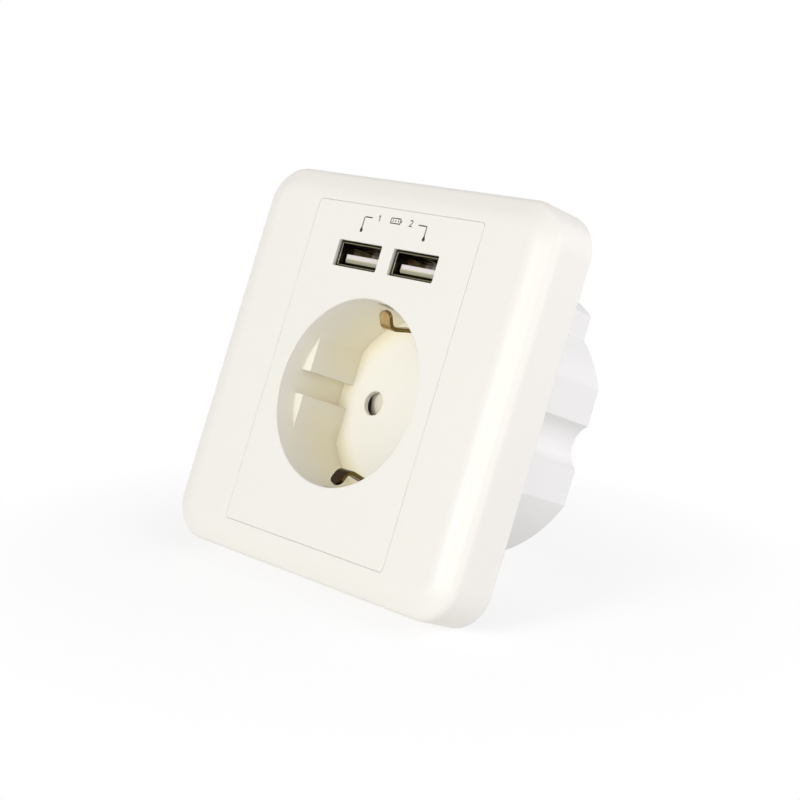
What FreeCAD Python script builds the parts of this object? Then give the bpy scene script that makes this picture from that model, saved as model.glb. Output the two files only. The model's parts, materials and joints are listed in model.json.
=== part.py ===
import FreeCAD, Part
import math
import os

from FreeCAD import Vector

# Flush wall socket with an earthed round well and two USB charging ports, sizes in millimetres.
# X runs to the viewer's right, Y runs into the wall, Z runs up.
# The origin is the middle of the fixing pattern, on the wall plane.

# Cover frame
frame_side = 18.4
frame_end = 6.7
frame_depth = 12.5
frame_corner = 9.0
frame_wall = 2.0
frame_face = 2.2
bevel_width = 4.6
bevel_drop = 2.0
outer_blend = 2.0
inner_blend = 8.0
rim_wall = 1.3
hook_width = 8.0
hook_thick = 1.4
hook_catch = 0.8
hook_rise = 20.0

# Centre insert
insert_side = 4.4
insert_end = 8.2
insert_corner = 0.8
insert_face = 2.2
skirt_wall = 1.4
skirt_gap = 0.1
flange_thick = 1.6
seam = 0.04
edge_break = 0.05

# Plug well
well_radius = 20.2
well_depth = 18.5
well_drop = 3.5
well_wall = 1.4
well_floor = 1.2
well_lip = 0.2
pad_rise = 2.9
pad_start = 4.9
guide_groove = 5.3
pin_pitch = 19.0
pin_hole = 5.4
pin_length = 19.0
countersink = 0.15

# Earth strap and the pockets that its clips flex into
strap_width = 3.2
strap_thick = 0.8
strap_bend = 1.2
clip_stand = 4.7
clip_bend = 2.0
clip_setback = 6.4
clip_tip_stand = 1.2
clip_tip_setback = 4.2
clip_root_stand = 1.0
pocket_width = 5.0
pocket_depth = 2.4
pocket_wall = 1.4
pocket_front = 4.0

# Shutter and its spring
shutter_thick = 2.6
shutter_play = 0.3
shutter_gap = 1.1
shutter_travel = 6.4
shutter_cover = 7.0
shutter_ramp = 1.6
ramp_wall = 0.8
spring_radius = 1.15
spring_wire = 0.4
spring_length = 10.5
spring_turns = 6
spring_steps = 12
spring_peg = 1.6

# Mounting plate and fixings
plate_gap = 1.0
plate_thick = 1.0
plate_rim = 4.0
plate_raise = 2.5
plate_corner = 6.0
fixing_pitch = 60.0
fixing_slot = 3.8
fixing_slot_length = 8.0
plate_clear = 0.4

# Rear housing
tower_wall = 1.2
flat_gap = 2.3
housing_wall = 1.8
housing_back = 2.0
lobe_rise = 6.4
fixing_groove = 5.6
tower_radius = 3.7
tower_clear = 0.3
post_radius = 2.3
post_bite = 0.1
post_gap = 0.54
boss_wall = 2.3

# Housing screws
case_screw = 2.6
case_screw_depth = 6.0
case_head = 4.4
case_head_thick = 1.8
screw_clear = 0.2

# Contact base, contacts and terminals
rail_thick = 1.9
base_depth = 9.8
base_front_wall = 1.0
base_top = 8.0
guide_rib = 1.2
rivet_radius = 1.4
rivet_drop = 6.0
contact_thick = 0.8
contact_grip = 4.6
contact_width = 5.0
terminal_pitch = 10.0
terminal_drop = 14.1
strip_width = 5.0
strip_end = 2.0
wire_gap = 2.6
wire_hole = 3.5
cage_width = 7.4
cage_height = 6.6
cage_wall = 0.9
cage_front = 1.2
cage_nut = 2.0
cage_nut_gap = 2.4
cage_travel = 2.4
cage_play = 0.3
terminal_screw = 3.0
terminal_shank = 7.2
terminal_head = 5.2
terminal_head_thick = 2.0
driver_hole = 4.4
screw_fit = 0.05
end_play = 0.1

# USB ports
usb_pitch = 16.8
usb_gap = 1.8
usb_width = 13.2
usb_height = 5.8
usb_corner = 0.4
usb_setback = 0.9
usb_fit = 0.25
usb_sheet = 0.3
tongue_side = 0.5
tongue_thick = 1.8
tongue_setback = 1.1
tongue_drop = 0.7
usb_block = 3.4
usb_contact_width = 1.0
usb_contact_thick = 0.2

# Circuit boards
board_thick = 1.2
usb_board_gap = 3.0
usb_board_height = 10.2
usb_board_drop = 1.2
board_side = 0.4
board_margin = 1.9
spacer_thick = 2.5
power_board_gap = 1.8
board_clear = 0.5
pin_square = 0.64
header_pitch = 2.54

# Charger components on the power board
core_shift = 2.5
core_rise = 12.5
core_width = 16.0
core_depth = 12.0
core_height = 5.6
core_leg = 5.2
winding_out = 2.5
bobbin_foot = 1.0
foot_lip = 0.7
input_can_radius = 4.0
input_can_length = 13.0
output_can_radius = 3.15
output_can_length = 11.0
can_gap = 0.8
choke_radius = 2.8
choke_length = 7.0
fuse_radius = 1.6
fuse_length = 7.0
disc_radius = 3.5
disc_thick = 2.6
disc_lift = 4.8
disc_gap = 2.0
lead = 0.6
component_room = 1.5

# Planes along Y and heights that follow from the sizes above
y_front = -frame_depth
y_face = y_front + insert_face
y_floor = y_front + well_depth
y_floor_back = y_floor + well_floor
y_boss = y_floor_back + boss_wall
y_shutter = y_floor_back + shutter_gap
y_shutter_back = y_shutter + shutter_thick
y_strap = y_shutter_back + shutter_play + 0.2
y_base = y_strap + strap_thick
y_strip = y_base + base_depth
y_strip_back = y_strip + contact_thick
y_head = y_strip_back + end_play + terminal_shank
y_power = y_base + power_board_gap
y_power_back = y_power + board_thick
tallest = max(input_can_length, output_can_length, choke_length, core_depth + bobbin_foot)
y_inner = max(y_head + terminal_head_thick + 4 * end_play, y_power_back + tallest + component_room)
y_back = y_inner + housing_back
y_usb = y_front + usb_setback
y_rim_back = -plate_raise
y_skirt = y_rim_back - plate_thick - skirt_gap

z_well = -well_drop
base_half = (pin_pitch + shutter_cover) / 2 + shutter_play + rail_thick
well_outer = well_radius + well_wall
pad_half = well_radius - pad_rise
clip_reach = well_radius - clip_stand
clip_tip_radius = well_radius - clip_tip_stand
clip_root_radius = well_radius - clip_root_stand
pocket_outer = well_radius + pocket_depth + pocket_wall
insert_width = 2 * max(well_radius + insert_side,
                       base_half + tower_radius + tower_clear + post_radius - post_bite + skirt_wall)
usb_rise = z_well + pocket_outer + usb_gap + usb_height / 2
insert_height = 2 * (usb_rise + usb_height / 2 + insert_end)
frame_width = insert_width + 2 * frame_side
frame_height = insert_height + 2 * frame_end
plate_width = frame_width - 2 * (frame_wall + plate_gap)
plate_height = frame_height - 2 * (frame_wall + plate_gap)
screw_x = insert_width / 2 - skirt_wall - post_radius + post_bite
screw_z = well_drop + math.sqrt((well_outer + post_radius + post_gap) ** 2 - screw_x ** 2)
z_terminal = z_well - terminal_drop
z_strip_end = z_terminal - cage_height / 2 - strip_end
contact_reach = math.hypot(terminal_pitch + strip_width / 2, z_strip_end) + board_clear + housing_wall
housing_radius = max(math.hypot(screw_x, screw_z) + case_head / 2 + screw_clear + tower_wall, contact_reach)
housing_flat = screw_x + tower_radius + flat_gap
tongue_width = usb_width - 2 * (usb_fit + usb_sheet + tongue_side)
board_half = core_shift + core_width / 2 + disc_gap + disc_thick + board_margin
lobe_half = board_half + board_side + housing_wall
z_rivet = z_well - rivet_drop
z_core = z_well + base_top + core_rise
x_out = output_can_radius + can_gap
z_out = z_core + core_height / 2 + winding_out + foot_lip + x_out
can_reach = math.hypot(x_out, z_out) + output_can_radius + board_clear + housing_wall
lobe_radius = max(usb_rise + usb_height / 2 + lobe_rise, can_reach)
x_core = core_shift
z_usb_board = usb_rise - usb_height / 2 - usb_board_drop
fixing_x = fixing_pitch / 2
usb_contact_places = (-3.5, -1.0, 1.0, 3.5)
usb_places = {"left": -usb_pitch / 2, "right": usb_pitch / 2}
terminal_places = {"line": -terminal_pitch, "earth": 0.0, "neutral": terminal_pitch}
case_screw_places = [(sx * screw_x, sz * screw_z) for sx in (-1, 1) for sz in (-1, 1)]
FAR = 200.0


def span(centre, width):
    return (centre - width / 2, centre + width / 2)


def block(xs, ys, zs):
    low = Vector(xs[0], ys[0], zs[0])
    return Part.makeBox(xs[1] - xs[0], ys[1] - ys[0], zs[1] - zs[0], low)


def rod(radius, ys, x=0.0, z=0.0):
    return Part.makeCylinder(radius, ys[1] - ys[0], Vector(x, ys[0], z), Vector(0, 1, 0))


def cone(radius_front, radius_back, ys, x=0.0, z=0.0):
    base = Vector(x, ys[0], z)
    return Part.makeCone(radius_front, radius_back, ys[1] - ys[0], base, Vector(0, 1, 0))


def slab(width, height, radius, ys, x=0.0, z=0.0):
    body = block(span(x, width), ys, span(z, height))
    upright = [e for e in body.Edges if abs(e.tangentAt(e.FirstParameter).y) > 0.9]
    return body.makeFillet(radius, upright)


def both_sides(shape):
    return shape.fuse(shape.mirror(Vector(0, 0, 0), Vector(1, 0, 0)))


def front_edges(shape):
    return [e for e in shape.Edges if abs(e.BoundBox.YMax - y_front) < 0.001]


def joined(shapes):
    return shapes[0].multiFuse(shapes[1:]).removeSplitter()


def rounded_outline(points, radii):
    """Closed wire through flat points, with an arc of the given radius at each corner."""
    edges = []
    count = len(points)
    last_end = None
    first_start = None
    for i, corner in enumerate(points):
        into = (corner - points[i - 1]).normalize()
        out = (points[(i + 1) % count] - corner).normalize()
        half_turn = into.getAngle(out) / 2
        start, end = corner, corner
        if radii[i] > 0 and half_turn > 0.001:
            reach = radii[i] * math.tan(half_turn)
            start, end = corner - into * reach, corner + out * reach
            inward = (out - into).normalize()
            middle = corner + inward * (radii[i] / math.cos(half_turn) - radii[i])
        if last_end is not None:
            edges.append(Part.LineSegment(last_end, start).toShape())
        if start is not end:
            edges.append(Part.Arc(start, middle, end).toShape())
        first_start = first_start or start
        last_end = end
    edges.append(Part.LineSegment(last_end, first_start).toShape())
    return Part.Wire(edges)


def flat_piece(points, radii, along):
    return Part.Face(rounded_outline(points, radii)).extrude(along)


def bent_strip(route, bends, thick, width):
    """Sheet strip, as wide as given along X, whose middle follows (y, z) points."""
    half = thick / 2
    headings = [Vector(0, b[0] - a[0], b[1] - a[1]).normalize() for a, b in zip(route, route[1:])]
    normals = [Vector(0, -h.z, h.y) for h in headings]
    near, far, near_radii, far_radii = [], [], [], []
    for i, (y, z) in enumerate(route):
        before, after = normals[max(i - 1, 0)], normals[min(i, len(normals) - 1)]
        shift = (before + after) * (half / (1 + before.dot(after)))
        middle = Vector(-width / 2, y, z)
        near.append(middle + shift)
        far.append(middle - shift)
        turn = 0
        if 0 < i < len(route) - 1:
            turn = 1 if headings[i - 1].cross(headings[i]).x > 0 else -1
        bend = bends[i] if turn else 0
        near_radii.append(bend - turn * half if turn else 0)
        far_radii.append(bend + turn * half if turn else 0)
    return flat_piece(near + far[::-1], near_radii + far_radii[::-1], Vector(width, 0, 0))


def bevelled_block(width, height, corner, ys, bevel, blends):
    """Block with round corners and a bevelled front edge, softened where the bevel starts and ends."""
    run, drop = bevel
    outer, inner = blends
    front, back = ys
    radial = [(0, back), (corner, back), (corner, front + drop), (corner - run, front), (0, front)]
    solids = []
    for x in (corner - width / 2, width / 2 - corner):
        for z in (corner - height / 2, height / 2 - corner):
            outline = rounded_outline([Vector(x + s, y, z) for s, y in radial], [0, 0, outer, inner, 0])
            solids.append(Part.Face(outline).revolve(Vector(x, 0, z), Vector(0, 1, 0), 360))
    for half, other, across, along in ((width / 2, height / 2, Vector(1, 0, 0), Vector(0, 0, 1)),
                                       (height / 2, width / 2, Vector(0, 0, 1), Vector(1, 0, 0))):
        section = [(-half, back), (half, back), (half, front + drop), (half - run, front),
                   (run - half, front), (-half, front + drop)]
        start = along * (corner - other)
        points = [start + across * s + Vector(0, y, 0) for s, y in section]
        solids.append(flat_piece(points, [0, 0, outer, inner, inner, outer], along * (2 * (other - corner))))
    return joined(solids)


def hook_x():
    return plate_width / 2 - plate_rim / 2 - hook_thick


def cover_frame():
    body = bevelled_block(frame_width, frame_height, frame_corner, (y_front, 0),
                          (bevel_width, bevel_drop), (outer_blend, inner_blend))
    hollow = bevelled_block(frame_width - 2 * frame_wall, frame_height - 2 * frame_wall,
                            frame_corner - frame_wall, (y_front + frame_face, 0),
                            (bevel_width - frame_wall, bevel_drop * 0.6), (0, 0))
    body = body.cut(hollow)
    gap = 2 * seam
    rim = slab(insert_width + gap + 2 * rim_wall, insert_height + gap + 2 * rim_wall,
               insert_corner + rim_wall, (y_front + frame_face, y_skirt - flange_thick))
    body = body.fuse(rim)
    for z in (-hook_rise, hook_rise):
        body = body.fuse(both_sides(frame_hook(z)))
    window = slab(insert_width + gap, insert_height + gap, insert_corner + seam, (y_front, 0))
    body = body.cut(window).removeSplitter()
    window_rim = [e for e in front_edges(body) if abs(e.CenterOfMass.x) < insert_width / 2 + gap
                  and abs(e.CenterOfMass.z) < insert_height / 2 + gap]
    return body.makeChamfer(edge_break, window_rim)


def frame_hook(z):
    inner, outer = hook_x(), hook_x() + hook_thick
    catch = y_rim_back + 0.15
    points = [(inner, y_front + frame_face / 2), (outer, y_front + frame_face / 2), (outer, catch),
              (outer + hook_catch, catch), (outer + hook_catch, catch + 0.5), (outer, -0.5), (inner, -0.5)]
    low = z - hook_width / 2
    return flat_piece([Vector(x, y, low) for x, y in points], [0] * len(points), Vector(0, 0, hook_width))


def well_hollow():
    """The plug's space: a round well with two flat pads, each split by a guide groove."""
    ys = (y_front, y_floor)
    hollow = rod(well_radius, ys, z=z_well)
    pad = block((pad_half, well_radius + 1), (y_front + pad_start, y_floor), span(z_well, 2 * well_radius))
    groove = block((pad_half - 1, well_radius + 2), ys, span(z_well, guide_groove))
    return hollow.cut(both_sides(pad.cut(groove)))


def pocket_box(width, reach, ys, low):
    """A block above and below the well, between two distances from its middle."""
    upper = block(span(0, width), ys, (z_well + low, z_well + reach))
    lower = block(span(0, width), ys, (z_well - reach, z_well - low))
    return upper.fuse(lower)


def pin_holes():
    holes = []
    for x in span(0, pin_pitch):
        holes.append(rod(pin_hole / 2, (y_floor - 1, y_floor_back + 1), x, z_well))
        sink = (y_floor, y_floor + countersink)
        holes.append(cone(pin_hole / 2 + countersink, pin_hole / 2, sink, x, z_well))
    return holes[0].multiFuse(holes[1:])


def spring_peg_at(z, length):
    pin = Part.makeCylinder(spring_radius - spring_wire - 0.15, length, Vector(0, 0, z))
    pin.translate(Vector(0, (y_shutter + y_shutter_back) / 2, 0))
    return pin


def shutter_rails():
    """Rails that guide the shutter behind the well's floor, and the seat of its spring."""
    rail_x = pin_pitch / 2 + shutter_cover / 2 + shutter_play
    top = z_well + shutter_cover / 2
    rail = block((rail_x, base_half), (y_floor, y_base), (top - shutter_cover - 1, top + shutter_travel + 1))
    low = top + spring_length
    seat = block(span(0, 4 * spring_radius), (y_floor, y_shutter_back), (low, low + 1.5))
    return both_sides(rail).multiFuse([seat, spring_peg_at(low - spring_peg, spring_peg + 0.5)])


def socket_insert():
    face = slab(insert_width, insert_height, insert_corner, (y_front, y_skirt))
    inner = slab(insert_width - 2 * skirt_wall, insert_height - 2 * skirt_wall, insert_corner,
                 (y_face, y_skirt + 1))
    skirt = face.cut(inner)
    reach = 2 * (seam + rim_wall)
    flange = slab(insert_width + reach, insert_height + reach, insert_corner + rim_wall,
                  (y_skirt - flange_thick, y_skirt)).cut(inner)
    tube = rod(well_outer, (y_face, y_floor_back), z=z_well)
    pockets = pocket_box(pocket_width + 2 * pocket_wall, pocket_outer, (y_face, y_floor_back), well_radius)
    pieces = [skirt, flange, tube, pockets, shutter_rails()]
    pieces += [rod(post_radius, (y_face, -plate_thick), x, z) for x, z in case_screw_places]
    for x in usb_places.values():
        sleeve = block(span(x, usb_width + 2), (y_face, y_face + 4), span(usb_rise, usb_height + 2))
        pieces.append(sleeve)
    body = joined(pieces)
    body = body.cut(well_hollow()).cut(pin_holes())
    slot = pocket_box(pocket_width, well_radius + pocket_depth, (y_front + pocket_front, y_floor),
                      well_radius - 1.5)
    floor_slot = pocket_box(pocket_width, well_radius, (y_floor - 0.5, y_floor_back + 1),
                            clip_root_radius - 2.6 * strap_thick)
    body = body.cut(slot).cut(floor_slot)
    for x in usb_places.values():
        body = body.cut(slab(usb_width, usb_height, usb_corner, (y_front - 1, 0), x, usb_rise))
    for x, z in case_screw_places:
        ys = (-plate_thick - case_screw_depth - 1, 0)
        body = body.cut(rod(case_screw / 2 + screw_fit, ys, x, z))
    body = body.removeSplitter()
    mouth = [e for e in front_edges(body) if abs(e.BoundBox.XLength - 2 * well_radius) < 0.01]
    body = body.makeChamfer(well_lip, mouth)
    outline = [e for e in front_edges(body) if abs(e.CenterOfMass.x) > insert_width / 2 - insert_corner
               or abs(e.CenterOfMass.z) > insert_height / 2 - insert_corner]
    return body.makeChamfer(edge_break, outline)


def mounting_plate():
    width, height = plate_width - 2 * plate_rim, plate_height - 2 * plate_rim
    rim = slab(plate_width, plate_height, plate_corner + plate_rim, (y_rim_back - plate_thick, y_rim_back))
    wall = slab(width, height, plate_corner, (y_rim_back - plate_thick, 0))
    dish = slab(width - 2 * plate_thick, height - 2 * plate_thick, plate_corner - plate_thick,
                (y_rim_back - plate_thick - 1, -plate_thick))
    body = rim.fuse(wall).cut(dish)
    ys = (-plate_thick - 1, 1)
    body = body.cut(rod(well_outer + plate_clear, ys, z=z_well))
    pocket_room = pocket_width + 2 * pocket_wall + 2 * plate_clear
    body = body.cut(pocket_box(pocket_room, pocket_outer + plate_clear, ys, 0))
    window_half = usb_pitch / 2 + usb_width / 2 + plate_clear
    window_top = usb_rise + usb_height / 2 + 2 * plate_clear
    body = body.cut(block((-window_half, window_half), ys, (z_well + well_radius - 2, window_top)))
    for x, z in case_screw_places:
        body = body.cut(rod(case_screw / 2 + screw_clear, ys, x, z))
    for x in (-fixing_x, fixing_x):
        body = body.cut(slab(fixing_slot_length, fixing_slot, fixing_slot / 2 - 0.0001, ys, x))
    for z in (-hook_rise, hook_rise):
        hole = block((hook_x() - 0.15, hook_x() + hook_thick + 0.15), (y_rim_back - plate_thick - 1, 0),
                     span(z, hook_width + 0.6))
        body = body.cut(both_sides(hole))
    return body.removeSplitter()


def housing_form(inset, ys):
    """Rear housing's outline less an inset: round, with side flats, fixing grooves and a lobe."""
    body = rod(housing_radius - inset, ys)
    body = body.common(block(span(0, 2 * (housing_flat - inset)), ys, (-FAR, FAR)))
    lobe = rod(lobe_radius - inset, ys).common(block(span(0, 2 * (lobe_half - inset)), ys, (0, FAR)))
    body = body.fuse(lobe)
    for x in (-fixing_x, fixing_x):
        body = body.cut(rod(fixing_groove + inset, ys, x))
    return body.removeSplitter()


def board_supports():
    lobe_inner = lobe_half - housing_wall
    ledge = block((lobe_inner - 1.8, lobe_inner + 0.5), (usb_board_gap + board_thick, y_power),
                  (usb_rise - 2, usb_rise + 1.5))
    rib = block((board_half - 1.2, lobe_inner + 0.5), (y_power_back, y_back - 1), span(lobe_half + 3.6, 1.8))
    post = rod(1.4, (y_power_back, y_back - 1), board_half - 1.8, z_well + base_top + 2.4)
    return both_sides(ledge.fuse(rib).fuse(post))


def clamp_ribs():
    """Ribs from the back wall that hold the contacts against their base."""
    z_rib = z_well - 6.6
    side = block(span(pin_pitch / 2, 3.0), (y_strip_back, y_back - 1), span(z_rib, 1.2))
    middle = block(span(0, 2.4), (y_strip_back, y_back - 1), span(z_terminal + cage_height / 2 + 1.6, 1.2))
    return both_sides(side).fuse(middle)


def wire_entry_y():
    return y_strip - wire_gap / 2 - 0.1


def rear_housing():
    body = housing_form(0, (0, y_back)).cut(housing_form(housing_wall, (-1, y_inner)))
    for x, z in case_screw_places:
        tower = rod(tower_radius, (0, y_back), x, z).common(housing_form(0, (0, y_back)))
        body = body.fuse(tower)
    guide_top = z_terminal - cage_height / 2 - cage_play - 4.1
    y_wire = wire_entry_y()
    guide = block(span(0, 2 * terminal_pitch + 8), span(y_wire, wire_hole + 4), (-FAR, guide_top))
    body = body.fuse(guide.common(housing_form(0, (0, y_back))))
    body = body.fuse(board_supports()).fuse(clamp_ribs())
    body = body.cut(rod(well_outer + tower_clear, (-1, y_floor_back + tower_clear), z=z_well))
    for x, z in case_screw_places:
        body = body.cut(rod(case_head / 2 + screw_clear, (y_boss, y_back + 1), x, z))
        body = body.cut(rod(case_screw / 2 + screw_clear, (-1, y_boss + 1), x, z))
    for x in terminal_places.values():
        body = body.cut(rod(driver_hole / 2, (y_inner - 1, y_back + 1), x, z_terminal))
        entry = Part.makeCylinder(wire_hole / 2, FAR, Vector(x, y_wire, guide_top + 1), Vector(0, 0, -1))
        body = body.cut(entry)
    return body.removeSplitter()


def contact_base():
    base_low = z_terminal - cage_height / 2 - cage_play - 2.4
    low, high = z_well - shutter_cover / 2, z_well + base_top
    body = block(span(0, 2 * base_half), (y_base, y_strip), (base_low, high))
    body = body.common(rod(housing_radius - housing_wall - 0.3, (y_base, y_strip)))
    for x in span(0, pin_pitch):
        body = body.cut(rod(pin_hole / 2 + 0.1, (y_base - 1, y_strip), x, z_well))
        pocket = block(span(x, contact_width + 1.6), (y_base + base_front_wall, y_strip + 1),
                       span(z_well, contact_grip + 2 * contact_thick + 2.6))
        body = body.cut(pocket)
    for x in terminal_places.values():
        bay = block(span(x, cage_width + 2 * cage_play), (y_base + base_front_wall, y_strip + 1),
                    span(z_terminal, cage_height + 2 * cage_play))
        channel = block(span(x, wire_hole + 0.4), (y_strip - wire_gap - 0.6, y_strip + 1),
                        (base_low - 1, z_terminal))
        body = body.cut(bay).cut(channel)
    body = body.cut(rod(rivet_radius + screw_fit, (y_base - 1, y_strip + 1), 0, z_rivet))
    inner = pin_pitch / 2 - pin_hole / 2 - 2 * shutter_play - guide_rib
    rib = block((inner, inner + guide_rib), (y_shutter_back + shutter_play, y_base + 0.5), (low, high))
    return body.fuse(both_sides(rib)).removeSplitter()


def shutter():
    """One slider that covers both pin holes, with a ramp for each pin to push on."""
    bar = block(span(0, pin_pitch + shutter_cover), (y_shutter, y_shutter_back), span(z_well, shutter_cover))
    waist = block(span(0, pin_pitch - shutter_cover), (y_shutter - 1, y_shutter_back + 1),
                  (z_well - shutter_cover, z_well - 1.2))
    body = bar.cut(waist)
    low, high = z_well - shutter_cover / 2, z_well + shutter_cover / 2
    outer = (pin_pitch + shutter_cover) / 2 + 0.1
    near = y_shutter - 0.1
    slope = [(near, high - 0.8), (y_shutter + shutter_ramp, low - 0.1), (near, low - 0.1)]
    points = [Vector(outer, y, z) for y, z in slope]
    ramp = flat_piece(points, [0] * len(points), Vector(ramp_wall - shutter_cover, 0, 0))
    body = body.cut(both_sides(ramp))
    return body.fuse(spring_peg_at(high - 0.5, spring_peg + 0.5)).removeSplitter()


def shutter_spring():
    """Coil of straight lengths of wire, from the shutter up to the spring's seat."""
    low = z_well + shutter_cover / 2 + spring_wire / 2
    rise = spring_length - spring_wire
    middle_y = y_shutter + shutter_thick / 2
    radius = spring_radius - spring_wire / 2
    count = spring_steps * spring_turns
    points = []
    for i in range(count + 1):
        turn = 2 * math.pi * i / spring_steps
        across, deep = radius * math.cos(turn), radius * math.sin(turn)
        points.append(Vector(across, middle_y + deep, low + rise * i / count))
    start, heading = points[0], (points[1] - points[0]).normalize()
    across = heading.cross(Vector(0, 0, 1)).normalize() * (spring_wire / 2)
    upright = across.cross(heading)
    corners = [start + across * math.cos(a) + upright * math.sin(a)
               for a in [math.pi * i / 3 for i in range(6)]]
    section = Part.makePolygon(corners + corners[:1])
    return Part.makePolygon(points).makePipeShell([section], True, False, 1)


def contact_leaf(x, side):
    """A spring leaf that grips the pin from above or below."""
    grip = contact_grip / 2 + contact_thick / 2
    route = [(y_strip + contact_thick / 2, grip + 0.5), (y_base + base_front_wall + 3.0, grip),
             (y_base + base_front_wall + 0.4, grip + 0.8)]
    leaf = bent_strip([(y, z_well + side * z) for y, z in route], [0, 2.0, 0], contact_thick, contact_width)
    leaf.translate(Vector(x, 0, 0))
    return leaf


def pole_contact(side):
    x_pin = side * pin_pitch / 2
    x_term = side * terminal_pitch
    ys = (y_strip, y_strip_back)
    head_half = contact_grip / 2 + contact_thick + 1.4
    head = block(span(x_pin, contact_width + 3.4), ys, (z_well - head_half, z_well + head_half))
    tail = block(span(x_term, strip_width), ys, (z_strip_end, z_well))
    neck_top = z_well + base_top + 2.9
    neck = block(span(x_pin, 3.0), ys, (z_well, neck_top))
    tab = block(span(x_pin, 2.0), (y_power - 0.6, y_strip_back), (neck_top - contact_thick, neck_top))
    pieces = [head, tail, neck, tab, contact_leaf(x_pin, 1), contact_leaf(x_pin, -1)]
    body = joined(pieces)
    pin_way = rod(pin_hole / 2 + 0.1, (y_strip - 0.001, y_strip_back + 1), x_pin, z_well)
    return body.cut(pin_way).removeSplitter()


def earth_strap():
    """One strip behind the well whose two ends come forward through the floor and bend into clips."""
    y_mid = y_strap + strap_thick / 2
    tip = (y_front + clip_tip_setback + strap_thick / 2, clip_tip_radius)
    bend = (y_front + clip_setback, clip_reach)
    root = (y_mid, clip_root_radius)
    ends = [tip, bend, root]
    route = [(y, z_well + r) for y, r in ends] + [(y, z_well - r) for y, r in ends[::-1]]
    body = bent_strip(route, [0, clip_bend, strap_bend, strap_bend, clip_bend, 0], strap_thick, strap_width)
    tips = [e for e in body.Edges if e.BoundBox.XLength < 0.001 and e.Length < strap_thick + 0.01
            and e.BoundBox.YMax < bend[0]]
    body = body.makeFillet(strap_width / 2 - 0.15, tips)
    return body.cut(rod(rivet_radius + screw_fit, (y_strap - 1, y_base + 1), 0, z_rivet))


def earth_terminal():
    ys = (y_strip, y_strip_back)
    body = block(span(0, strip_width), ys, (z_strip_end, z_rivet + 2.6))
    return body.cut(rod(rivet_radius + screw_fit, (y_strip - 1, y_strip_back + 1), 0, z_rivet))


def earth_rivet():
    shank = rod(rivet_radius, (y_strap - 0.4, y_strip_back + 0.5), 0, z_rivet)
    heads = [rod(rivet_radius + 0.6, (y_strap - 0.4, y_strap), 0, z_rivet),
             rod(rivet_radius + 0.6, (y_strip_back, y_strip_back + 0.5), 0, z_rivet)]
    return joined([shank] + heads)


def terminal_cage(x):
    """Clamp cage round the strip: its nut rides on the screw and draws the wire against the strip."""
    front = y_strip - wire_gap - cage_front
    back = y_strip_back + cage_nut_gap + cage_nut
    body = block(span(x, cage_width), (front, back), span(z_terminal, cage_height))
    inside = block(span(x, cage_width - 2 * cage_wall), (front + cage_front, back - cage_nut),
                   span(z_terminal, cage_height + 2))
    body = body.cut(inside)
    return body.cut(rod(terminal_screw / 2 + screw_fit, (front + cage_front, back + 1), x, z_terminal))


def terminal_screw_piece(x):
    tip = y_strip_back + end_play
    shank = rod(terminal_screw / 2, (tip, y_head), x, z_terminal)
    head = rod(terminal_head / 2, (y_head, y_head + terminal_head_thick), x, z_terminal)
    slot_ys = (y_head + terminal_head_thick / 2, y_back)
    slot = block(span(x, terminal_head + 1), slot_ys, span(z_terminal, 0.8))
    return joined([shank, head]).cut(slot)


def housing_screws():
    screws = []
    for x, z in case_screw_places:
        shank = rod(case_screw / 2, (-plate_thick - case_screw_depth, y_boss), x, z)
        head = rod(case_head / 2, (y_boss, y_boss + case_head_thick), x, z)
        top = y_boss + case_head_thick
        slots = [block(span(x, length), (top - 0.8, top + 1), span(z, 3.8 - length))
                 for length in (3.0, 0.8)]
        screws.append(joined([shank, head]).cut(slots[0]).cut(slots[1]))
    return Part.makeCompound(screws)


def usb_shell(x):
    """Folded sheet shell with spring leaves pressed in from its top, bottom and sides."""
    width, height = usb_width - 2 * usb_fit, usb_height - 2 * usb_fit
    ys = (y_usb, usb_board_gap)
    body = slab(width, height, usb_corner + usb_sheet, ys, x, usb_rise)
    inside = slab(width - 2 * usb_sheet, height - 2 * usb_sheet, usb_corner, (y_usb - 1, usb_board_gap + 1),
                  x, usb_rise)
    body = body.cut(inside)
    leaf_ys = (y_usb + 2.4, y_usb + 6.4)
    for across in (-2.8, 2.8):
        for side in (-1, 1):
            wall = usb_rise + side * (height / 2 - usb_sheet / 2)
            window = block(span(x + across, 2.4), leaf_ys, span(wall, 3 * usb_sheet))
            crest = (leaf_ys[1] - 2.4, wall - side * 0.5)
            route = [(leaf_ys[1] + 0.2, wall), crest, (leaf_ys[0] + 0.3, wall)]
            leaf = bent_strip(route, [0, 1.0, 0], usb_sheet, 1.8)
            leaf.translate(Vector(x + across, 0, 0))
            body = body.cut(window).fuse(leaf)
    legs = []
    for side in (-1, 1):
        inner = x + side * (width / 2 - usb_sheet / 2)
        legs.append(block(span(inner, usb_sheet), (usb_board_gap - 1, usb_board_gap + board_thick + 0.8),
                          span(usb_rise, 1.6)))
    return joined([body] + legs)


def usb_contact(x, offset):
    top = usb_rise - tongue_drop + tongue_thick / 2
    ys = (y_usb + tongue_setback + 0.5, usb_board_gap + board_thick + 0.6)
    return block(span(x + offset, usb_contact_width), ys, (top - usb_contact_thick, top))


def usb_contacts(x):
    return Part.makeCompound([usb_contact(x, offset) for offset in usb_contact_places])


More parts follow.
